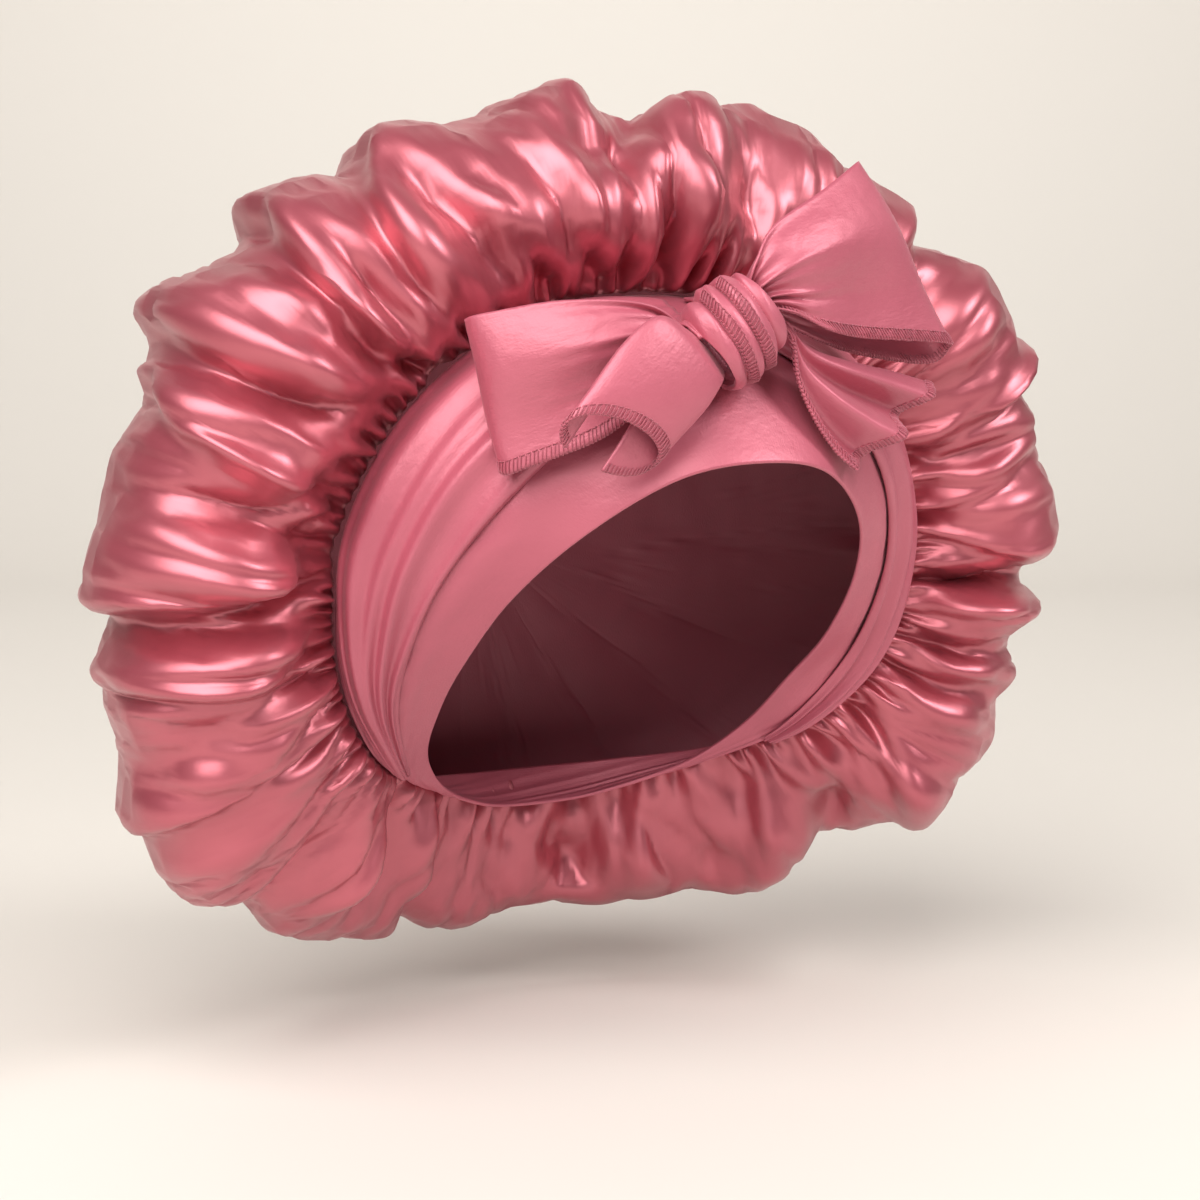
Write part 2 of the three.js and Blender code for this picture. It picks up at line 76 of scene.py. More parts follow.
# Large folds of the crown. Each crest runs through an angle at the seam, half way out and at the rim. It
# slopes over `soft` degrees on both sides, less the nearer `steep` is to -1 on the side of smaller angles
# or to 1 on that of larger ones. Negative heights are creases.
CROWN_FOLDS = table("seam middle rim height soft steep end", [
    (-172, -176, -178, 8, 7, 0, 0.85), (-158, -161, -165, 9, 7, 0, 0.8),
    (-144.5, -158, -167, -5, 3, 0, 0.7), (-137, -146, -149, 8, 6, 0.6, 0.8),
    (-130.5, -137, -140, -6, 2.4, 0, 0.7), (-121, -127, -130, 10, 8, 0, 0.85),
    (-116, -116.5, -120, 9, 6, -0.9, 0.7), (-112, -109, -111, 4, 3, 0, 0.8),
    (-103, -104.5, -107, 6, 2.8, 0, 0.65), (-99, -100.5, -101.5, 9, 7, -0.9, 0.7),
    (-82.5, -87, -91, 11, 12, -0.95, 0.75), (-76, -80, -76, 5, 6, 0, 0.85),
    (-64, -70, -64, 12, 9, -0.85, 0.75), (-46.5, -58, -57, 14, 9, -0.9, 0.8),
    (-50, -50, -46, 3, 5, 0, 0.9), (-38, -45, -41, 16, 11, -0.95, 0.8),
    (-36, -37, -33, -4, 2, 0, 0.55), (-31, -35, -26, 13, 9, -0.85, 0.75),
    (-22.5, -29, -27, -5, 1.8, 0, 0.35), (-11, -15.5, -6, 12, 9, 0.6, 0.75),
    (-6, -6, 3, -4, 2, 0, 0.6), (-3, -1.5, 8, 5, 3.5, 0, 0.4),
    (1, 2, 15, 11, 10, -0.4, 0.8), (14, 20, 26, 7, 8, 0, 0.85),
    (33, 36, 39, 11, 8, 0.8, 0.8), (48, 50, 53, 7, 7, 0, 0.85),
    (65, 63.5, 64, 13, 9, 0.95, 0.75), (74, 76, 78, 6, 6, 0, 0.8),
    (80.5, 88, 91.5, 10, 9, 0.9, 0.75), (99, 98.5, 102, 7, 3.5, 0, 0.7),
    (106, 110.5, 110, 6, 4, -0.6, 0.7), (119, 124, 118, 9, 6, 0, 0.8),
    (123.5, 132, 133, 9, 6, 0.8, 0.75), (131, 142, 146, -6, 2.6, 0, 0.7),
    (140, 151, 155, 9, 6, 0, 0.8), (160, 166, 168, 8, 7, 0, 0.85),
])

# Dents between the folds: where each begins and ends, its width in degrees and its depth in mm.
CROWN_DENTS = table("angle_in along_in angle_out along_out width depth", [
    (-80, 0.06, -79, 0.24, 3.2, 6), (-73, 0.02, -77, 0.08, 1.6, 3), (-59, 0.18, -60.5, 0.36, 2.6, 6),
    (-44, 0.03, -52, 0.2, 2.4, 5), (-28, 0.12, -29.5, 0.26, 2.2, 6), (-12.5, 0.18, -11, 0.3, 1.8, 4),
    (-42, 0.12, -42.5, 0.24, 1.6, 4), (-20, 0.04, -25, 0.14, 1.8, 4), (-11, 0.03, -15, 0.1, 1.8, 4),
    (-1.5, 0.02, -1.5, 0.08, 1.8, 4), (0.5, 0.09, 0, 0.17, 1.6, 4), (14.5, 0.14, 12, 0.26, 3, 4),
    (24, 0.05, 29, 0.16, 2.2, 4), (44, 0.08, 47, 0.24, 2.6, 5), (57, 0.05, 58, 0.2, 2.6, 5),
    (70, 0.05, 73, 0.18, 2.4, 5), (79.5, 0.01, 80.5, 0.07, 1.8, 3), (95, 0.08, 96, 0.26, 2.2, 5),
    (104.5, 0.02, 109, 0.12, 2, 4), (115, 0.06, 114, 0.22, 2.2, 5), (126, 0.03, 131, 0.13, 2.2, 5),
    (-87.5, 0.1, -88.5, 0.26, 1.6, 4), (-95, 0.2, -96, 0.36, 2.4, 5), (-103, 0.25, -102.5, 0.38, 1.6, 4),
    (-110, 0.22, -112.5, 0.32, 2, 3), (-119.5, 0.08, -116, 0.28, 1.8, 4), (-128, 0.1, -132, 0.26, 2.6, 5),
    (-150, 0.06, -156, 0.24, 3, 5), (150, 0.08, 155, 0.24, 3, 5), (172, 0.06, 173, 0.26, 3, 5),
])

# A tie over the band: its inner and outer edge as shares of the band's width, and how full its pleats are.
WRAP = table("angle inner outer puff", [
    (3, 0.6, 0.86, 1), (14, 0.44, 0.95, 2.4), (30, 0.31, 0.965, 3.6), (50, 0.27, 0.965, 4.4),
    (75, 0.29, 0.96, 4.8), (95, 0.33, 0.95, 5), (115, 0.36, 0.92, 4.6), (128, 0.34, 0.84, 3.2),
    (137, 0.36, 0.7, 1.6),
])
# Loops and tails, left and right being the wearer's. Rows run from the knot outwards: the strap's top edge,
# its hem, how far its middle comes forward, and the height of the folds along it.
STRAP_COLUMNS = "topX topY topZ hemX hemY hemZ lift ripple"
LOOP_RIGHT = table(STRAP_COLUMNS, [
    (-21, -71.5, 97, -13, -71.5, 87, 0, 0.5), (-40, -75, 109, -31, -76, 83, 2, 2.5),
    (-66, -66, 111, -55, -73, 66, 4, 4), (-87, -52, 107, -77, -61, 56, 3, 2.5),
    (-92, -45, 105, -83, -54, 53, 0, 1), (-87, -40, 104, -78, -49, 56, -2, 1),
    (-62, -50, 107, -55, -61, 69, -1, 1.5), (-36, -63, 105, -31, -67, 87, 0, 1),
    (-20, -68.5, 95, -13, -68.5, 88, 0, 0.3),
])
LOOP_LEFT = table(STRAP_COLUMNS, [
    (-3.5, -78, 115.5, 4, -78, 108, 0, 0.5), (-1, -80, 124, 14, -82, 106, 1, 1.5),
    (8, -77, 136, 31, -79, 100, 5, 3), (32, -70, 148, 52, -73, 97, 6, 4),
    (53, -60, 158, 90, -63, 95, 4, 2.5), (57, -54, 158, 97, -57, 93, 0, 1.5),
    (53, -49, 153, 90, -52, 87, -4, 1.5), (30, -58, 138, 50, -61, 92, -3, 2),
    (8, -68, 124, 20, -70, 101, -1, 1), (-3, -73, 115, 4, -73, 108, 0, 0.3),
])
TAIL_LEFT = table(STRAP_COLUMNS, [
    (5, -75, 107, 8, -75, 103, 0, 0.2), (14, -75, 103.5, 16.5, -77, 98, 0, 0.5),
    (26, -74, 94, 18, -79, 83, 0, 2), (45, -70, 89, 24, -81, 69, 2, 5),
    (68, -62, 85, 33, -81, 58, 4, 7), (89, -58, 80, 41, -81, 52, 4, 8),
])
# The tail curled into a tube: its front, half its width, how that tilts, and where its back lies.
TAIL_RIGHT = table("x y z half tilt back down", [
    (-16, -79.5, 91, 6.5, -50, 1.5, 0), (-21, -83, 93, 11, -48, 2, 0), (-30, -89, 95, 17, -44, 3.5, 1),
    (-40, -92, 89, 19.5, -35, 5, 3), (-52, -93, 80, 19.5, -24, 6, 7), (-60, -92, 73, 19.5, -17, 6, 9),
])
KNOT = {"x": -7, "y": -75, "z": 100, "tilt": 40, "length": 27, "across": 18, "deep": 14.5}


# ---------------------------------------------------------------- shape helpers


def whole_ring(rows):
    """A one-sided ring carried round both sides, with three rows repeated at each end."""
    sides = {}
    for name, column in rows.items():
        mirror = -1 if name in ("angle", "x") else 1
        around = np.concatenate([mirror * column[1:-1][::-1], column])
        turn = 360 if name == "angle" else 0
        sides[name] = np.concatenate([around[-3:] - turn, around, around[:3] + turn])
    return sides


def blend(rows, key, at, columns):
    """Smooth curve through a table's rows, for an array of places."""
    at = np.asarray(at, float)
    places = rows[key]
    values = np.stack([rows[c] for c in columns.split()], -1)
    last = len(places) - 1
    i = np.clip(np.searchsorted(places, at, side="right") - 1, 0, last - 1)
    before, after = np.maximum(i - 1, 0), np.minimum(i + 2, last)
    span = (places[i + 1] - places[i])[..., None]
    t = (at[..., None] - places[i][..., None]) / span
    slope_in = (values[i + 1] - values[before]) / (places[i + 1] - places[before])[..., None] * span
    slope_out = (values[after] - values[i]) / (places[after] - places[i])[..., None] * span
    return (
        (2 * t**3 - 3 * t**2 + 1) * values[i]
        + (t**3 - 2 * t**2 + t) * slope_in
        + (3 * t**2 - 2 * t**3) * values[i + 1]
        + (t**3 - t**2) * slope_out
    )


def rise(start, end, at):
    """0 before start, 1 after end, smooth between."""
    t = np.clip((at - start) / (end - start), 0, 1)
    return t * t * (3 - 2 * t)


def unit(vectors):
    """Vectors made 1 long."""
    return vectors / (np.linalg.norm(vectors, axis=-1, keepdims=True) + 1e-12)


def bezier(a, b, c, d, t):
    """Cubic curve from a to d, pulled towards b and c."""
    t = t[..., None]
    return (1 - t) ** 3 * a + 3 * (1 - t) ** 2 * t * b + 3 * (1 - t) * t**2 * c + t**3 * d


def wobble(places, turns, seed, waves=9):
    """Smooth random wave, about 1 high, that repeats every `turns`."""
    draw = np.random.default_rng(seed)
    total = np.zeros_like(places, float)
    for k in range(1, waves + 1):
        total = total + draw.normal() * np.cos(2 * math.pi * k * places / turns + draw.uniform(0, 6.28))
    return total / math.sqrt(waves)


def ring_normals(points, towards):
    """Normals of a grid of points whose rows close into a ring, on the side that faces `towards`."""
    around = np.roll(points, -1, 0) - np.roll(points, 1, 0)
    normal = unit(np.cross(around, np.gradient(points, axis=1)))
    side = np.sum(normal * towards, axis=-1)
    return normal * np.sign(np.mean(side))


def grid_faces(rows, columns, ring):
    """Quads of a grid whose points are numbered row by row."""
    number = np.arange(rows * columns).reshape(rows, columns)
    here = number if ring else number[:-1]
    there = np.roll(number, -1, 0) if ring else number[1:]
    return np.stack([here[:, :-1], there[:, :-1], there[:, 1:], here[:, 1:]], -1).reshape(-1, 4)


SEAM_RING, FACE_RING, RIM_RING = whole_ring(SEAM), whole_ring(FACE), whole_ring(RIM)


# ---------------------------------------------------------------- cloth simulation

SOLVER_STEPS = 4
TENSION, COMPRESSION, SHEAR = 15, 8, 4
TENSION_DAMPING, COMPRESSION_DAMPING, SHEAR_DAMPING = 8, 8, 6
SIM_SCALE = 0.01  # millimetres to the solver's units: ten times life size, which it handles better


def settle(points, faces, rest, pins, frames, pressure, gravity, bending):
    """Lets cloth settle from `points`, cut to the shape `rest`, and returns where it ends, in mm."""
    mesh = bpy.data.meshes.new("settling")
    mesh.from_pydata((points * SIM_SCALE).tolist(), [], faces)
    cloth = bpy.data.objects.new("settling", mesh)
    bpy.context.scene.collection.objects.link(cloth)
    cloth.shape_key_add(name="Basis")
    cut = cloth.shape_key_add(name="cut")
    cut.data.foreach_set("co", (rest * SIM_SCALE).astype(np.float32).ravel())
    cut.value = 0
    group = cloth.vertex_groups.new(name="held")
    for weight in np.unique(pins[pins > 0]):
        group.add(np.flatnonzero(pins == weight).tolist(), float(weight), "REPLACE")
    solver = cloth.modifiers.new("cloth", "CLOTH")
    s = solver.settings
    s.quality = SOLVER_STEPS
    s.mass = 0.15
    s.air_damping = 1.5
    s.tension_stiffness, s.tension_damping = TENSION, TENSION_DAMPING
    s.compression_stiffness, s.compression_damping = COMPRESSION, COMPRESSION_DAMPING
    s.shear_stiffness, s.shear_damping = SHEAR, SHEAR_DAMPING
    s.bending_stiffness, s.bending_damping = bending, 1.0
    s.rest_shape_key = mesh.shape_keys.key_blocks["cut"]
    s.vertex_group_mass = "held"
    s.pin_stiffness = 1.0
    s.use_pressure = pressure > 0
    s.uniform_pressure_force = pressure
    s.effector_weights.gravity = gravity
    solver.collision_settings.use_collision = False
    solver.collision_settings.use_self_collision = False
    solver.point_cache.frame_start, solver.point_cache.frame_end = 1, frames + 1
    for step in range(1, frames + 1):
        bpy.context.scene.frame_set(step)
    settled = cloth.evaluated_get(bpy.context.evaluated_depsgraph_get())
    end = np.zeros(len(points) * 3, np.float32)
    settled.data.vertices.foreach_get("co", end)
    bpy.data.objects.remove(cloth)
    bpy.context.scene.frame_set(1)
    return end.reshape(-1, 3).astype(float) / SIM_SCALE


# ---------------------------------------------------------------- materials


def noise_bump(tree, bsdf, layers):
    """Adds bump layers of (grains per metre, stretch, strength, depth in mm).

    A layer with a stretch lies in the cloth as its threads do, drawn out along one of them.
    """
    coords = tree.nodes.new("ShaderNodeTexCoord")
    last = None
    for scale, stretch, strength, depth in layers:
        texture = tree.nodes.new("ShaderNodeTexNoise")
        texture.inputs["Scale"].default_value = scale
        texture.inputs["Detail"].default_value = 3
        drawn_out = tree.nodes.new("ShaderNodeMapping")
        drawn_out.inputs["Scale"].default_value = (1 / max(stretch, 1), 1, 1)
        bump = tree.nodes.new("ShaderNodeBump")
        bump.inputs["Strength"].default_value = strength
        bump.inputs["Distance"].default_value = depth * METRES
        tree.links.new(coords.outputs["UV" if stretch else "Object"], drawn_out.inputs["Vector"])
        tree.links.new(drawn_out.outputs["Vector"], texture.inputs["Vector"])
        tree.links.new(texture.outputs["Fac"], bump.inputs["Height"])
        if last is not None:
            tree.links.new(last.outputs["Normal"], bump.inputs["Normal"])
        last = bump
    tree.links.new(last.outputs["Normal"], bsdf.inputs["Normal"])


SHEEN_TINT = (1.0, 0.6, 0.68, 1)
SHEEN_ROUGHNESS, GLOSS_ROUGHNESS, GLOSS_IOR = 0.4, 0.4, 1.75
SHADE_UP_TO, COLOUR_FROM = 0.3, 0.7


def cloth_material(name, colour, shade, roughness, metallic, sheen, gloss, layers, patch_scale=18.0):
    """Satin: a base colour that drifts a little towards `shade`, with a fine woven surface.

    `gloss` is how much of the light comes back white off the tops of the threads.
    """
    material = bpy.data.materials.new(name)
    material.use_nodes = True
    tree = material.node_tree
    bsdf = tree.nodes["Principled BSDF"]
    bsdf.inputs["Roughness"].default_value = roughness
    bsdf.inputs["Metallic"].default_value = metallic
    bsdf.inputs["Sheen Weight"].default_value = sheen
    bsdf.inputs["Sheen Roughness"].default_value = SHEEN_ROUGHNESS
    bsdf.inputs["Sheen Tint"].default_value = SHEEN_TINT
    bsdf.inputs["Specular IOR Level"].default_value = 0.7
    bsdf.inputs["Coat Weight"].default_value = gloss
    bsdf.inputs["Coat Roughness"].default_value = GLOSS_ROUGHNESS
    bsdf.inputs["Coat IOR"].default_value = GLOSS_IOR
    coords = tree.nodes.new("ShaderNodeTexCoord")
    patches = tree.nodes.new("ShaderNodeTexNoise")
    patches.inputs["Scale"].default_value = patch_scale
    patches.inputs["Detail"].default_value = 2
    ramp = tree.nodes.new("ShaderNodeValToRGB")
    ramp.color_ramp.elements[0].position = SHADE_UP_TO
    ramp.color_ramp.elements[0].color = (*shade, 1)
    ramp.color_ramp.elements[1].position = COLOUR_FROM
    ramp.color_ramp.elements[1].color = (*colour, 1)
    tree.links.new(coords.outputs["Object"], patches.inputs["Vector"])
    tree.links.new(patches.outputs["Fac"], ramp.inputs["Fac"])
    tree.links.new(ramp.outputs["Color"], bsdf.inputs["Base Color"])
    noise_bump(tree, bsdf, layers)
    return material


glossy_satin = cloth_material(
    "glossy_satin", colour=(0.52, 0.09, 0.13), shade=(0.43, 0.065, 0.1), roughness=0.38, metallic=0.6,
    sheen=0.04, gloss=0.7, layers=[(1500, 7, 0.16, 0.12), (160, 0, 0.18, 0.5)])
satin_reverse = cloth_material(
    "satin_reverse", colour=(0.42, 0.09, 0.135), shade=(0.37, 0.075, 0.115), roughness=0.62, metallic=0.05,
    sheen=0.3, gloss=0.0, layers=[(2200, 3, 0.3, 0.3)])
matte_satin = cloth_material(
    "matte_satin", colour=(0.52, 0.115, 0.17), shade=(0.45, 0.092, 0.14), roughness=0.46, metallic=0.25,
    sheen=0.15, gloss=0.1, layers=[(1000, 4, 0.4, 0.3), (1200, 1, 0.3, 0.3), (230, 0, 0.3, 0.6)])
overlock_thread = cloth_material(
    "overlock_thread", colour=(0.45, 0.085, 0.13), shade=(0.33, 0.06, 0.095), roughness=0.55, metallic=0.0,
    sheen=0.5, gloss=0.0, layers=[(4000, 0, 0.3, 0.2)], patch_scale=90.0)


# ---------------------------------------------------------------- making pieces


CROWN_WALL, BAND_WALL, WRAP_WALL, STRAP_WALL, KNOT_WALL = 0.7, 1.6, 1.0, 0.8, 1.6


def new_object(name, points, faces, materials, cut=None):
    """A mesh. `cut` is where each of its points lies on the flat cloth, in mm, which the weave follows."""
    mesh = bpy.data.meshes.new(name)
    mesh.from_pydata((points * METRES).tolist(), [], faces)
    mesh.polygons.foreach_set("use_smooth", [True] * len(mesh.polygons))
    if cut is not None:
        corners = np.zeros(len(mesh.loops), int)
        mesh.loops.foreach_get("vertex_index", corners)
        weave = mesh.uv_layers.new(name="weave")
        weave.data.foreach_set("uv", (cut[corners] * METRES).astype(np.float32).ravel())
    obj = bpy.data.objects.new(name, mesh)
    bpy.context.scene.collection.objects.link(obj)
    for material in materials:
        mesh.materials.append(material)
    return obj


def make_cloth(name, points, faces, wall, materials, cut=None):
    """A sheet given its real thickness behind the points; a second material goes on the back."""
    obj = new_object(name, points, faces, materials, cut)
    skin = obj.modifiers.new("wall", "SOLIDIFY")
    skin.thickness = wall * METRES
    skin.offset = -1
    skin.material_offset = len(materials) - 1
    skin.use_rim = True
    made = bpy.data.meshes.new_from_object(obj.evaluated_get(bpy.context.evaluated_depsgraph_get()))
    obj.modifiers.clear()
    old = obj.data
    obj.data = made
    bpy.data.meshes.remove(old)
    made.name = name
    return obj


def place(obj, node):
    """Puts a piece on the one body, in place of a solid if it stands for one."""
    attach(obj, "root")
    if node:
        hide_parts(node)


# ---------------------------------------------------------------- crown

CROWN_CUT_RADIUS = 315.0
CROWN_HOLD = 0.12
CROWN_FRAMES, CROWN_PRESSURE, CROWN_GRAVITY, CROWN_BENDING = 10, 0.3, 0.3, 0.1
CROWN_AROUND, CROWN_ALONG = 704, 56


def crown_base(angle, along):
    """The smooth bag before its folds: out from the seam to the rim, then round to the back."""
    seam = blend(SEAM_RING, "angle", angle, "x y z")
    rim = blend(RIM_RING, "angle", angle, "x y z")
    bulge = blend(RIM_RING, "angle", angle, "bulge")
    outward = (rim - seam) * [1, 0, 1]
    seam = seam + SEAM_GAP * unit(outward)
    front = bezier(
        seam, seam + 0.45 * outward - 0.6 * bulge * BACKWARD, rim - 1.3 * bulge * BACKWARD, rim,
        np.clip(along / RIM_ALONG, 0, 1))
    spread = (rim - CROWN_BACK) * [1, 0, 1]
    turn = rim + 0.6 * BACKWARD * (CROWN_BACK[1] - rim[..., 1:2])
    behind = np.clip((along - RIM_ALONG) / (1 - RIM_ALONG), 0, 1)
    back = bezier(rim, turn, CROWN_BACK + 0.6 * spread, CROWN_BACK, behind)
    return np.where((along < RIM_ALONG)[..., None], front, back)


def crown_stations():
    """Places along the crown, closer together near the seam, with how far each lies from it in mm."""
    fine = np.linspace(0, 1, 400)
    spots = crown_base(*np.meshgrid(np.arange(-180, 180, 15.0), fine, indexing="ij"))
    steps = np.linalg.norm(np.diff(spots, axis=1), axis=-1).mean(0)
    travelled = np.concatenate([[0], np.cumsum(steps)])
    distance = np.linspace(0, 1, CROWN_ALONG) ** 1.3 * travelled[-1]
    return np.interp(distance, travelled, fine), distance


STEEP_SIDE = 2.0
LEAN_OVER = 0.16
FOLD_GAIN = 1.2
DENT_GAIN = 1.4
DENT_STRAIGHT, DENT_ROUNDING = 0.35, 2.6


def crown_folds(angle, along):
    """Height of the large folds in mm, and how far their crests lean over their steep sides in degrees."""
    height, lean = np.zeros_like(angle), np.zeros_like(angle)
    out = along / RIM_ALONG
    for seam, middle, rim, size, soft, steep, end in zip(*CROWN_FOLDS.values()):
        centre = seam + out * (4 * middle - 3 * seam - rim) + out**2 * (2 * seam + 2 * rim - 4 * middle)
        centre = np.where(out < 1, centre, rim)
        off = (angle - centre + 540) % 360 - 180
        narrow = np.where(off * steep > 0, soft + (STEEP_SIDE - soft) * abs(steep), soft)
        fade = rise(0, 0.2, along) * (1 - rise(0.5 * end, end, along))
        crest = FOLD_GAIN * size * np.exp(-((off / narrow) ** 2)) * fade
        height += crest
        lean += steep * LEAN_OVER * crest
    return height, lean


def crown_dents(angle, along):
    """Depth of the dents, each a long hollow with rounded ends."""
    depth = np.zeros_like(angle)
    for angle_in, along_in, angle_out, along_out, width, size in zip(*CROWN_DENTS.values()):
        share = (along - along_in) / (along_out - along_in)
        off = (angle - angle_in - (angle_out - angle_in) * share + 540) % 360 - 180
        beyond = np.maximum(np.abs(share - 0.5) - DENT_STRAIGHT, 0) * DENT_ROUNDING
        depth += DENT_GAIN * size * np.exp(-((off / width) ** 2) - beyond**2)
    return depth


# Pleats that gather the crown: how many go round, how high they stand, and the distances from the
# stitches in mm over which they rise and fade as they run together into the next row's wider ones.
GATHERS = table("count height risen_from risen_by fading_from gone_by", [
    (116, 1.9, 0, 3, 5, 20), (58, 2.8, 1, 10, 14, 34), (29, 2.5, 10, 28, 32, 60),
])


SEAM_RIPPLE, SEAM_ROLL = 0.5, 1.4
DRIFT, UNEVEN = 2.2, 0.55


def gathers(angle, distance):
    """Height of the gathers, over a small roll of cloth along the seam."""
    ripple = (distance < 1) * np.sin(np.radians(angle) * GATHERS["count"][0])
    height = SEAM_RIPPLE * ripple + SEAM_ROLL * rise(0, 3, distance)
    for i, (count, size, start, full, fading, gone) in enumerate(zip(*GATHERS.values())):
        drift = DRIFT * wobble(angle, 180, 2 * i + 1, 12)
        uneven = np.clip(1 + UNEVEN * wobble(angle, 180, 2 * i + 2, 20), 0.15, 2.2)
        share = rise(start, full, distance) * (1 - rise(fading, gone, distance))
        height = height + size * uneven * share * np.sin(np.radians(angle) * count + drift)
    return height


# Small folds all over the crown: how many go round, how far they turn on the way out, and their height.
PUFFS = table("fewest most turning height", [
    (7, 15, 8, 7.5), (22, 40, 14, 2.3),
])
PUFF_WAVES = 22
PUFF_CREASE, PUFF_TOP, PUFF_SINK = 0.002, 1.6, 0.6  # roundness of creases, flat of tops, mean taken off


def puffs(angle, along, distance):
    """Rounded puffs with sharp creases between them, which run outwards and join up here and there."""
    height = np.zeros_like(angle)
    for row, (fewest, most, turning, size) in enumerate(zip(*PUFFS.values())):
        draw = np.random.default_rng(70 + row)
        waves = np.zeros_like(angle)
        for _ in range(PUFF_WAVES):
            count = draw.integers(fewest, most + 1)
            slant = draw.normal() * turning
            phase = np.radians(angle) * count + slant * along + draw.uniform(0, 6.28)
            waves += np.cos(phase) / math.sqrt(PUFF_WAVES / 2)
        rounded = np.minimum(np.sqrt(waves**2 + PUFF_CREASE), PUFF_TOP)
        height += size * rounded - PUFF_SINK * size
    towards_rim = 1 - 0.6 * rise(0.16, 0.36, along)
    return height * towards_rim * rise(4, 40, distance) * (1 - rise(0.42, 0.72, along))


def make_crown():
    """The crown: its folds are laid out, then it settles as a flat disc gathered into that shape."""
    stations, distance = crown_stations()
    angles = np.linspace(-180, 180, CROWN_AROUND, endpoint=False)
    angle, along = np.meshgrid(angles, stations[:-1], indexing="ij")
    far = np.broadcast_to(distance[:-1], angle.shape)
    height, lean = crown_folds(angle, along)
    base = crown_base((angle + lean + 180) % 360 - 180, along)
    normal = ring_normals(crown_base(angle, along), base - [0, 50, 20])
    height = height - crown_dents(angle, along) + gathers(angle, far) + puffs(angle, along, far)
    folded = base + normal * height[..., None]
    points = np.concatenate([folded.reshape(-1, 3), CROWN_BACK[None]])
    pole = len(points) - 1
    columns = CROWN_ALONG - 1
    faces = grid_faces(CROWN_AROUND, columns, True).tolist()
    edge = np.arange(CROWN_AROUND) * columns + columns - 1
    faces += np.stack([edge, np.roll(edge, -1), np.full(CROWN_AROUND, pole)], -1).tolist()
    radius = CROWN_CUT_RADIUS * (1 - far / distance[-1])
    disc = np.stack([radius * np.cos(np.radians(angle)), 0 * radius, radius * np.sin(np.radians(angle))], -1)
    cut = np.concatenate([disc.reshape(-1, 3), np.zeros((1, 3))])
    pins = np.full(angle.shape, CROWN_HOLD)
    pins[:, 0], pins[:, 1] = 1.0, 0.6
    pins = np.append(pins.ravel(), CROWN_HOLD)
    points = settle(points, faces, cut, pins, frames=CROWN_FRAMES, pressure=CROWN_PRESSURE,
                    gravity=CROWN_GRAVITY, bending=CROWN_BENDING)
    crown = make_cloth("crown_cloth", points, faces, CROWN_WALL, [glossy_satin, satin_reverse], cut[:, ::2])
    place(crown, "crown")


# ---------------------------------------------------------------- band and ties


def band_surface(angle, across):
    """The band's outside, from its face edge to the seam, swelling a little between them."""
    face = blend(FACE_RING, "angle", angle, "x y z")
    seam = blend(SEAM_RING, "angle", angle, "x y z")
    width = np.linalg.norm(seam - face, axis=-1, keepdims=True)
    swell = unit(unit((face + seam) * [1, 0, 1]) - 0.35 * BACKWARD)
    lift = 0.13 * width * np.sin(math.pi * across)[..., None]
    return face + (seam - face) * across[..., None] + lift * swell


def band_normals(angle, across):
    """Outward normals of the band's outside."""
    step_around, step_across = 1.0, 0.02
    around = band_surface(angle + step_around, across) - band_surface(angle - step_around, across)
    over = band_surface(angle, across + step_across) - band_surface(angle, across - step_across)
    normal = unit(np.cross(around, over))
    outside = band_surface(angle, across) * [1, 0, 1] - 20 * BACKWARD
    return normal * np.sign(np.sum(normal * outside, -1, keepdims=True))


BAND_ROUND, BAND_WIDE = 620.0, 60.0
CREASE_HEIGHT, TUCK_HEIGHT = 0.35, 1.4
WRAP_WIDE, WRAP_LONG = 75.0, 210.0


def make_band():
    """Doubled cloth: out from the seam to a soft folded face edge, and back inside."""
    wall, steps, lip = BAND_WALL, 26, 7
    angles = np.linspace(-180, 180, 400, endpoint=False)
    across = np.linspace(0.985, 0, steps)
    turn = np.linspace(0, math.pi, lip + 2)[1:-1]
    place_across = np.concatenate([across, np.zeros(lip), across[::-1]])
    depth = np.concatenate([np.zeros(steps), 0.5 * wall * (1 - np.cos(turn)), np.full(steps, wall)])
    forward = np.concatenate([np.zeros(steps), 0.5 * wall * np.sin(turn), np.zeros(steps)])
    angle, share = np.meshgrid(angles, place_across, indexing="ij")
    surface = band_surface(angle, share)
    normal = band_normals(angle, share)
    edge_way = unit(band_surface(angle, 0 * share) - band_surface(angle, 0 * share + 0.05))
    crease = CREASE_HEIGHT * wobble(angle + 60 * share, 360, 11, 40) * np.sin(math.pi * np.clip(share, 0, 1))
    beside = rise(30, 60, np.abs(angle)) * (1 - rise(118, 136, np.abs(angle)))
    tuck = 0.2 + 0.1 * rise(60, 120, np.abs(angle)) + 0.015 * wobble(angle, 360, 12, 14)
    crease += TUCK_HEIGHT * beside * np.exp(-(((share - tuck) / 0.07) ** 2))
    points = surface + normal * (crease - depth)[..., None] + edge_way * forward[..., None]
    rows, columns = points.shape[:2]
    faces = grid_faces(rows, columns, True)
    closing = np.arange(rows) * columns
    beyond = np.roll(closing, -1)
    join = np.stack([closing + columns - 1, beyond + columns - 1, beyond, closing], -1)
    cut = np.stack([np.abs(angle) * BAND_ROUND / 360, place_across * BAND_WIDE + 0 * angle], -1)
    band = new_object("band_cloth", points.reshape(-1, 3), np.concatenate([faces, join]).tolist(),
                      [matte_satin], cut.reshape(-1, 2))
    place(band, "band")


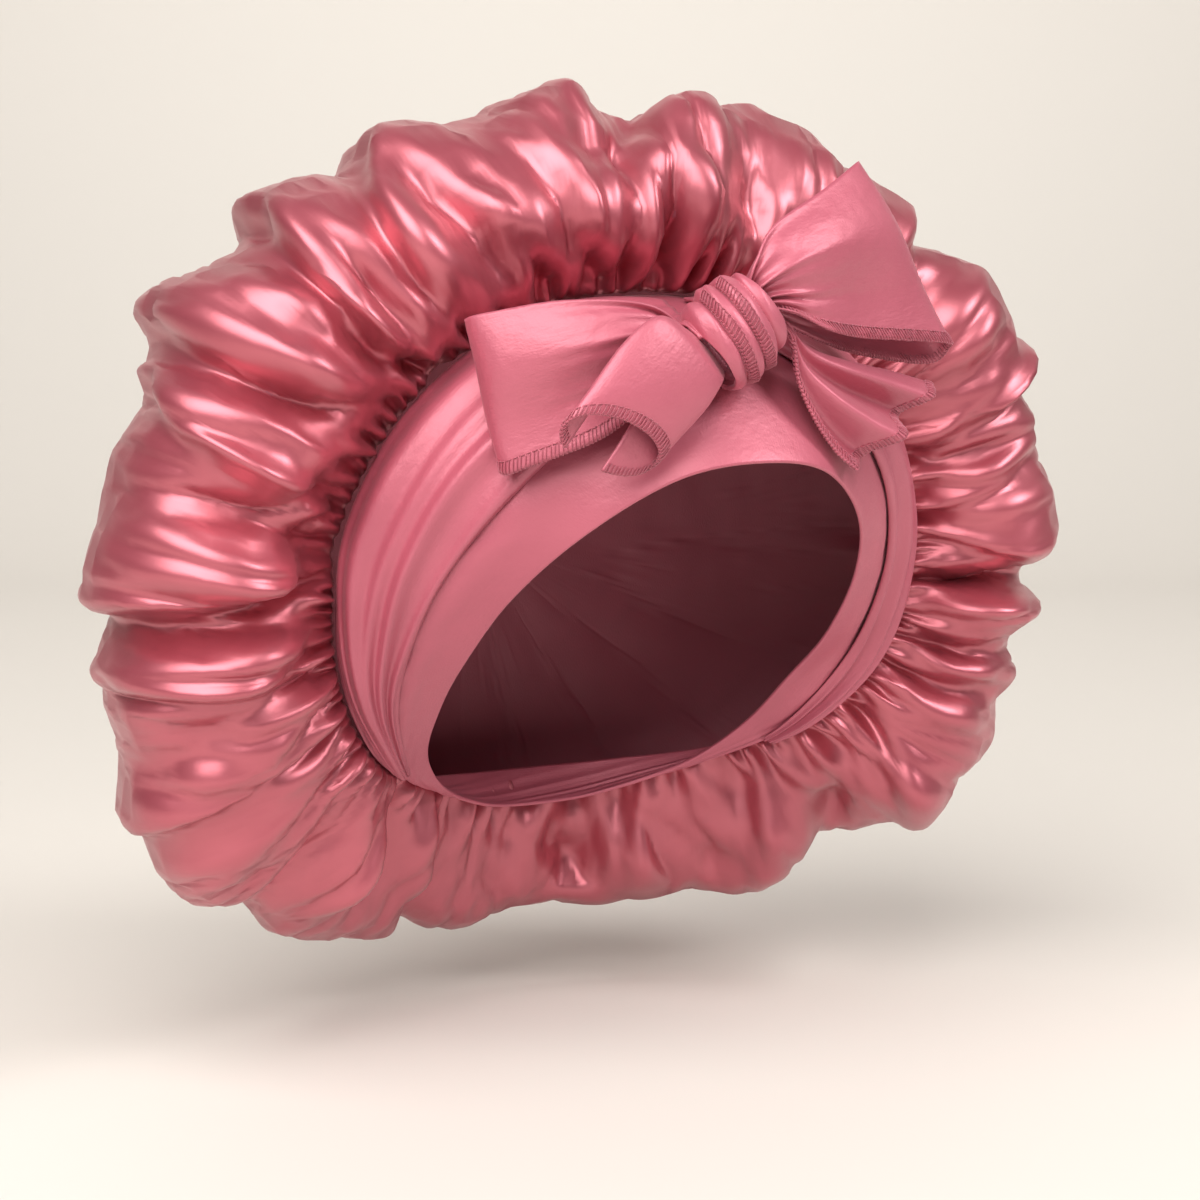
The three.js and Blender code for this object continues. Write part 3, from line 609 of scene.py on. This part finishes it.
# Pleats of a tie over the band: where each ridge runs across the tie, from the knot end to the pinch.
PLEATS = table("knot middle pinch width height", [
    (0.03, 0.03, 0.16, 0.05, 0.9), (0.20, 0.27, 0.32, 0.07, 1.3), (0.45, 0.44, 0.44, 0.08, 0.8),
    (0.72, 0.70, 0.60, 0.15, 1.5), (0.97, 0.95, 0.80, 0.05, 0.4),
])


def make_wrap(name, node, side, seed):
    """One tie laid over the band in pleats that run from the knot to a pinch below the ear."""
    angles = np.linspace(3, 137, 150)
    along, across = np.meshgrid(np.linspace(0, 1, 150), np.linspace(0, 1, 56), indexing="ij")
    row = blend(WRAP, "angle", angles, "inner outer puff")[:, None, :]
    share = row[..., 0] + (row[..., 1] - row[..., 0]) * across
    angle = side * np.broadcast_to(angles[:, None], share.shape)
    pleat = np.zeros_like(share)
    for knot, middle, pinch, width, height in zip(*PLEATS.values()):
        ease = rise(0, 0.5, along), rise(0.5, 1, along)
        centre = knot + (middle - knot) * ease[0] + (pinch - middle) * ease[1]
        centre = centre + 0.02 * wobble(along, 2.0, seed + int(100 * knot), 4)
        pleat += height * np.exp(-(((across - centre) / width) ** 2))
    pleat *= row[..., 2] * 0.8
    rounded = np.sin(math.pi * np.clip(across, 0.0, 1.0)) ** 0.35
    lift = 1.6 + rounded * (0.25 * row[..., 2] + pleat)
    surface = band_surface(angle, share)
    points = surface + band_normals(angle, share) * lift[..., None]
    faces = grid_faces(*share.shape, False)
    faces = faces[:, ::-1] if side < 0 else faces
    cut = np.stack([along * WRAP_LONG, across * WRAP_WIDE], -1).reshape(-1, 2)
    wrap = make_cloth(name, points.reshape(-1, 3), faces.tolist(), WRAP_WALL, [matte_satin], cut)
    place(wrap, node)


# ---------------------------------------------------------------- bow


def strap_surface(rows, folds, along, across):
    """A loop or a tail, with `folds` half waves across it."""
    stations = dict(rows, along=np.linspace(0, 1, len(rows["lift"])))
    row = blend(stations, "along", along, STRAP_COLUMNS)
    top, hem = row[..., 0:3], row[..., 3:6]
    crest = np.sin(math.pi * across)
    forward = row[..., 6] * crest + row[..., 7] * np.sin(math.pi * folds * across) * crest**0.4
    return top + (hem - top) * across[..., None] - forward[..., None] * BACKWARD


NECK_PLEATS, NECK_HEIGHT, NECK_REACH = 3.2, 2.4, 0.19


def neck_pleats(along, across, ends, seed):
    """Small pleats where the knot grips a strap, fading out along it, as a forward shift in mm."""
    waves = np.sin(2 * math.pi * (NECK_PLEATS * across + 0.3 * wobble(across, 1.0, seed, 3)) + seed)
    near = sum((np.exp(-((np.abs(along - end) / NECK_REACH) ** 2)) for end in ends), np.zeros_like(along))
    return -NECK_HEIGHT * (waves * near)[..., None] * BACKWARD


CURL_START, CURL_TURN = -125, 310


def curl_surface(along, across):
    """The tube of the front tail, with one soft fold inside its open end."""
    stations = dict(TAIL_RIGHT, along=np.linspace(0, 1, len(TAIL_RIGHT["x"])))
    row = blend(stations, "along", along, "x y z half tilt back down")
    turn = np.radians(CURL_START + CURL_TURN * across)[..., None]
    tilt = np.radians(row[..., 4:5])
    wide = np.concatenate([np.cos(tilt), 0 * tilt, np.sin(tilt)], -1)
    deep = np.concatenate([0 * tilt, row[..., 5:6], -row[..., 6:7]], -1)
    inner = 2.2 * rise(0.2, 0.9, along) * rise(0.62, 0.8, across) * np.sin(9.5 * across + 1.0)
    return (
        row[..., 0:3] + wide * row[..., 3:4] * np.sin(turn) + deep * (1 - np.cos(turn))
        + inner[..., None] * BACKWARD
    )


STRAP_FRAMES, STRAP_GRAVITY, STRAP_BENDING = 14, 0.03, 0.3


def strap_cut(points):
    """The flat shape of a strap in mm: it narrows to the knot as its rows do, about a straight middle."""
    middle = points[:, points.shape[1] // 2]
    travelled = np.concatenate([[0], np.cumsum(np.linalg.norm(np.diff(middle, axis=0), axis=1))])
    widths = np.linalg.norm(np.diff(points, axis=1), axis=-1).sum(1)
    spread = np.linspace(-0.5, 0.5, points.shape[1])
    return np.stack([np.broadcast_to(travelled[:, None], points.shape[:2]), widths[:, None] * spread], -1)


def make_strap(name, node, points, ends, hold, hem_sides, flip=False):
    """Settles a strap, held a little all over and firmly at the `ends` the knot grips, and sews its hems."""
    rows, columns = points.shape[:2]
    cut = strap_cut(points)
    strip = np.stack([cut[..., 0], 0 * cut[..., 0], cut[..., 1]], -1)
    pins = np.full((rows, columns), hold)
    for end in ends:
        pins[end] = 1.0
        pins[end + 1 if end == 0 else end - 1] = 0.7
    faces = grid_faces(rows, columns, False)
    settled = settle(points.reshape(-1, 3), faces.tolist(), strip.reshape(-1, 3), pins.ravel(),
                     frames=STRAP_FRAMES, pressure=0, gravity=STRAP_GRAVITY, bending=STRAP_BENDING)
    faces = faces[:, ::-1] if flip else faces
    strap = make_cloth(name, settled, faces.tolist(), STRAP_WALL, [matte_satin], cut.reshape(-1, 2))
    place(strap, node)
    grid = settled.reshape(rows, columns, 3)
    hems = [overlock(name.replace("cloth", side), *edge_frame(grid, side, flip)) for side in hem_sides]


def tubes(spines, radius, sides=5):
    """Points and faces of round threads, one along each spine."""
    circle = np.linspace(0, 2 * math.pi, sides, endpoint=False)
    points, faces, first = [], [], 0
    for spine in spines:
        ahead = unit(np.gradient(spine, axis=0))
        across = unit(np.cross(ahead, [0.31, 0.22, 0.93]))
        other = np.cross(ahead, across)
        ringed = spine[:, None] + radius * (
            np.cos(circle)[None, :, None] * across[:, None] + np.sin(circle)[None, :, None] * other[:, None])
        number = first + np.arange(len(spine) * sides).reshape(len(spine), sides)
        beside = np.roll(number, -1, 1)
        points.append(ringed.reshape(-1, 3))
        faces.append(np.stack([number[:-1], number[1:], beside[1:], beside[:-1]], -1).reshape(-1, 4))
        first += len(spine) * sides
    return np.concatenate(points), np.concatenate(faces)


# One overlock stitch: how far in from the edge as a share of its bite, how high over the cloth in mm, and
# how far along the edge as a share of its pitch the thread runs.
STITCH = table("inward height along", [
    (1, 0.2, 0), (0.62, 0.45, 0.3), (0.3, 0.5, 0.55), (0.02, 0.35, 0.7), (-0.1, -0.35, 0.75),
    (0.02, -1.05, 0.8), (0.35, -1.2, 0.95), (0.8, -1.1, 1.1),
])


NEEDLE = table("along height", [(0, -0.3), (0.1, 0.2), (0.4, 0.3), (0.7, 0.2), (0.8, -0.3)])
NEEDLE_PITCH = 2.4
THREAD_RADIUS, ROPE_RADIUS, ROPE_TURN = 0.24, 0.42, 0.28


def overlock(name, edge, inward, faceward, pitch=1.5, bite=4.0):
    """Overlocked edge: slanted threads over it, closed at its rim, and a row of needle stitches inside."""
    travelled = np.concatenate([[0], np.cumsum(np.linalg.norm(np.diff(edge, axis=0), axis=1))])
    draw = np.random.default_rng(len(name))

    def thread(distance, reach, lift):
        near = [np.stack([np.interp(distance, travelled, v[:, k]) for k in range(3)], -1)
                for v in (edge, inward, faceward)]
        return near[0] + near[1] * np.asarray(reach)[..., None] + near[2] * np.asarray(lift)[..., None]

    spines = []
    for i in range(int(travelled[-1] / pitch)):
        distance = (i + STITCH["along"] + draw.uniform(-0.1, 0.1)) * pitch
        spines.append(thread(distance, STITCH["inward"] * bite * draw.uniform(0.9, 1.1), STITCH["height"]))
    for i in range(int(travelled[-1] / NEEDLE_PITCH)):
        distance = (i + NEEDLE["along"]) * NEEDLE_PITCH
        spines.append(thread(distance, np.full(len(distance), bite + 0.3), NEEDLE["height"]))
    points, faces = tubes(spines, THREAD_RADIUS)
    rope = thread(np.arange(0, travelled[-1], 0.3), 0.0, -0.35)
    turn = np.arange(len(rope)) * 0.3 / pitch * 2 * math.pi
    rope = rope + ROPE_TURN * np.stack([np.cos(turn), np.sin(turn), 0 * turn], -1)
    rope_points, rope_faces = tubes([rope], ROPE_RADIUS, 6)
    stitched = new_object(name, np.concatenate([points, rope_points]),
                          np.concatenate([faces, rope_faces + len(points)]).tolist(), [overlock_thread])
    place(stitched, None)
    return stitched


def edge_frame(grid, side, flip=False):
    """A strap's edge, its way in and its outward face: 'hem' runs along the strap, 'end' across it."""
    normal = unit(np.cross(np.gradient(grid, axis=0), np.gradient(grid, axis=1))) * (-1 if flip else 1)
    if side == "end":
        edge, inner, out = grid[-1], grid[-4], normal[-1]
    else:
        edge, inner, out = grid[:, -1], grid[:, -4], normal[:, -1]
    return edge, unit(inner - edge), out


def make_bow():
    along, across = np.meshgrid(np.linspace(0, 1, 130), np.linspace(0, 1, 48), indexing="ij")
    loops = [
        ("loop_right_cloth", "bow_loop_right", LOOP_RIGHT, False),
        ("loop_left_cloth", "bow_loop_left", LOOP_LEFT, True),
    ]
    for name, node, rows, flip in loops:
        grid = strap_surface(rows, 2, along, across) + neck_pleats(along, across, (0, 1), 2)
        make_strap(name, node, grid, [0, -1], 0.2, ["hem"], flip)
    along, across = np.meshgrid(np.linspace(0, 1, 80), np.linspace(0, 1, 64), indexing="ij")
    tail = strap_surface(TAIL_LEFT, 4, along, across) + neck_pleats(along, across, (0,), 5)
    make_strap("tail_left_cloth", "bow_tail_left", tail, [0], 0.2, ["end", "hem"], True)
    make_strap("tail_right_cloth", "bow_tail_right", curl_surface(along, across), [0], 0.25, ["end"])


KNOT_TURNS = 3.5


def knot_surface(around, along):
    """Strands of strap wound round the middle of the bow, with a deep valley between them."""
    tilt = math.radians(KNOT["tilt"])
    axis = np.array([math.cos(tilt), 0, math.sin(tilt)])
    side = np.array([-axis[2], 0, axis[0]])
    barrel = 1 - 0.2 * (2 * along - 1) ** 2
    strand = np.abs(np.sin(math.pi * KNOT_TURNS * knot_phase(around, along))) ** 0.5
    swell = 1 + 0.17 * (strand - 0.8) + 0.012 * wobble(around + 4 * along, 2 * math.pi, 22, 12)
    size = (barrel * swell)[..., None]
    return (
        np.array([KNOT["x"], KNOT["y"], KNOT["z"]])
        + (along - 0.5)[..., None] * KNOT["length"] * axis
        + size * KNOT["across"] * np.cos(around)[..., None] * side
        - size * KNOT["deep"] * np.sin(around)[..., None] * BACKWARD
    )


def knot_phase(around, along):
    """Which strand a place on the knot belongs to, counted along it; the strands cross it at a slant."""
    return along + 0.09 * np.sin(around - 0.9) + 0.015 * wobble(around, 2 * math.pi, 21, 6)


def make_knot():
    """The wound knot, with overlocked edges showing on two of its strands."""
    around, along = np.meshgrid(
        np.linspace(0, 2 * math.pi, 240, endpoint=False), np.linspace(0, 1, 110), indexing="ij")
    faces = grid_faces(*around.shape, True)
    cut = np.stack([np.abs(around - math.pi) * KNOT["across"], along * KNOT["length"]], -1).reshape(-1, 2)
    points = knot_surface(around, along).reshape(-1, 3)
    knot = make_cloth("knot_cloth", points, faces.tolist(), KNOT_WALL, [matte_satin], cut)
    place(knot, "bow_knot")
    for strand in (1, 2):
        turn = np.linspace(0.1, math.pi - 0.1, 60)
        at = np.full_like(turn, strand / KNOT_TURNS)
        for _ in range(4):
            at = at + strand / KNOT_TURNS - knot_phase(turn, at)
        edge = knot_surface(turn, at + 0.02)
        inward = unit(knot_surface(turn, at + 0.12) - edge)
        out = unit(np.cross(inward, unit(np.gradient(edge, axis=0))))
        out = out * np.sign(np.sum(out * -BACKWARD, -1).mean())
        overlock(f"knot_hem_{strand}", edge + 0.4 * out, inward, out, bite=3.2)


# ---------------------------------------------------------------- stage, light and camera


def plain_material(name, colour, roughness):
    material = bpy.data.materials.new(name)
    material.use_nodes = True
    bsdf = material.node_tree.nodes["Principled BSDF"]
    bsdf.inputs["Base Color"].default_value = (*colour, 1)
    bsdf.inputs["Roughness"].default_value = roughness
    return material


def make_stage():
    """A pale floor that curves up into a wall well behind the bonnet, square to the camera."""
    floor_z, half, near, far, bend, top = -172.0, 7000.0, -4000.0, 1500.0, 700.0, 4500.0
    turn = np.linspace(0, math.pi / 2, 24)
    depth = np.concatenate([[near], far + bend * np.sin(turn), [far + bend]])
    height = np.concatenate([[floor_z], floor_z + bend * (1 - np.cos(turn)), [top]])
    ahead = np.array([-math.sin(CAMERA_AZIMUTH), math.cos(CAMERA_AZIMUTH), 0])
    right = np.array([ahead[1], -ahead[0], 0])
    sides = np.array([-half, half])
    up = np.array([0, 0, 1])
    points = ahead * depth[:, None, None] + right * sides[None, :, None] + up * height[:, None, None]
    faces = grid_faces(len(depth), 2, False)[:, ::-1].tolist()
    paint = plain_material("floor", (0.72, 0.69, 0.65), 0.6)
    new_object("floor", points.reshape(-1, 3), faces, [paint])


def area_light(name, position, target, size, power, colour):
    light = bpy.data.lights.new(name, "AREA")
    light.shape = "RECTANGLE"
    light.size, light.size_y = size
    light.energy = power
    light.color = colour
    obj = bpy.data.objects.new(name, light)
    obj.location = position
    obj.rotation_euler = (Vector(target) - Vector(position)).to_track_quat("-Z", "Y").to_euler()
    bpy.context.scene.collection.objects.link(obj)


def make_light():
    centre = (0, 0, 0)
    area_light("window", (-1.1, -0.9, 1.35), centre, (1.9, 1.9), 66, (1.0, 0.97, 0.93))
    area_light("fill", (1.15, -1.25, 1.3), centre, (0.8, 0.9), 27, (1.0, 0.97, 0.95))
    area_light("wall", (0.4, 0.9, 1.6), (0.7, 2.2, 0.6), (1.6, 0.6), 14, (1.0, 0.97, 0.93))
    bpy.context.scene.view_settings.view_transform = "Standard"
    world = bpy.data.worlds.new("studio")
    bpy.context.scene.world = world
    world.use_nodes = True
    background = world.node_tree.nodes["Background"]
    background.inputs["Color"].default_value = (0.86, 0.82, 0.78, 1)
    background.inputs["Strength"].default_value = 0.17


def make_camera():
    azimuth, elevation, distance = CAMERA_AZIMUTH, math.radians(7), 1.0
    level = math.cos(elevation)
    back = Vector((math.sin(azimuth) * level, -math.cos(azimuth) * level, math.sin(elevation)))
    right = Vector((math.cos(azimuth), math.sin(azimuth), 0))
    up = back.cross(right)
    camera = bpy.data.cameras.new("camera")
    camera.sensor_width = 36
    camera.lens = CAMERA_LENS
    obj = bpy.data.objects.new("camera", camera)
    position = back * distance - right * CAMERA_LEFT
    obj.matrix_world = Matrix.Translation(position) @ Matrix((right, up, back)).transposed().to_4x4()
    bpy.context.scene.collection.objects.link(obj)
    bpy.context.scene.camera = obj


make_crown()
make_band()
make_wrap("wrap_left_cloth", "tie_wrap_left", 1, 31)
make_wrap("wrap_right_cloth", "tie_wrap_right", -1, 47)
make_knot()
make_bow()
make_stage()
make_light()
make_camera()
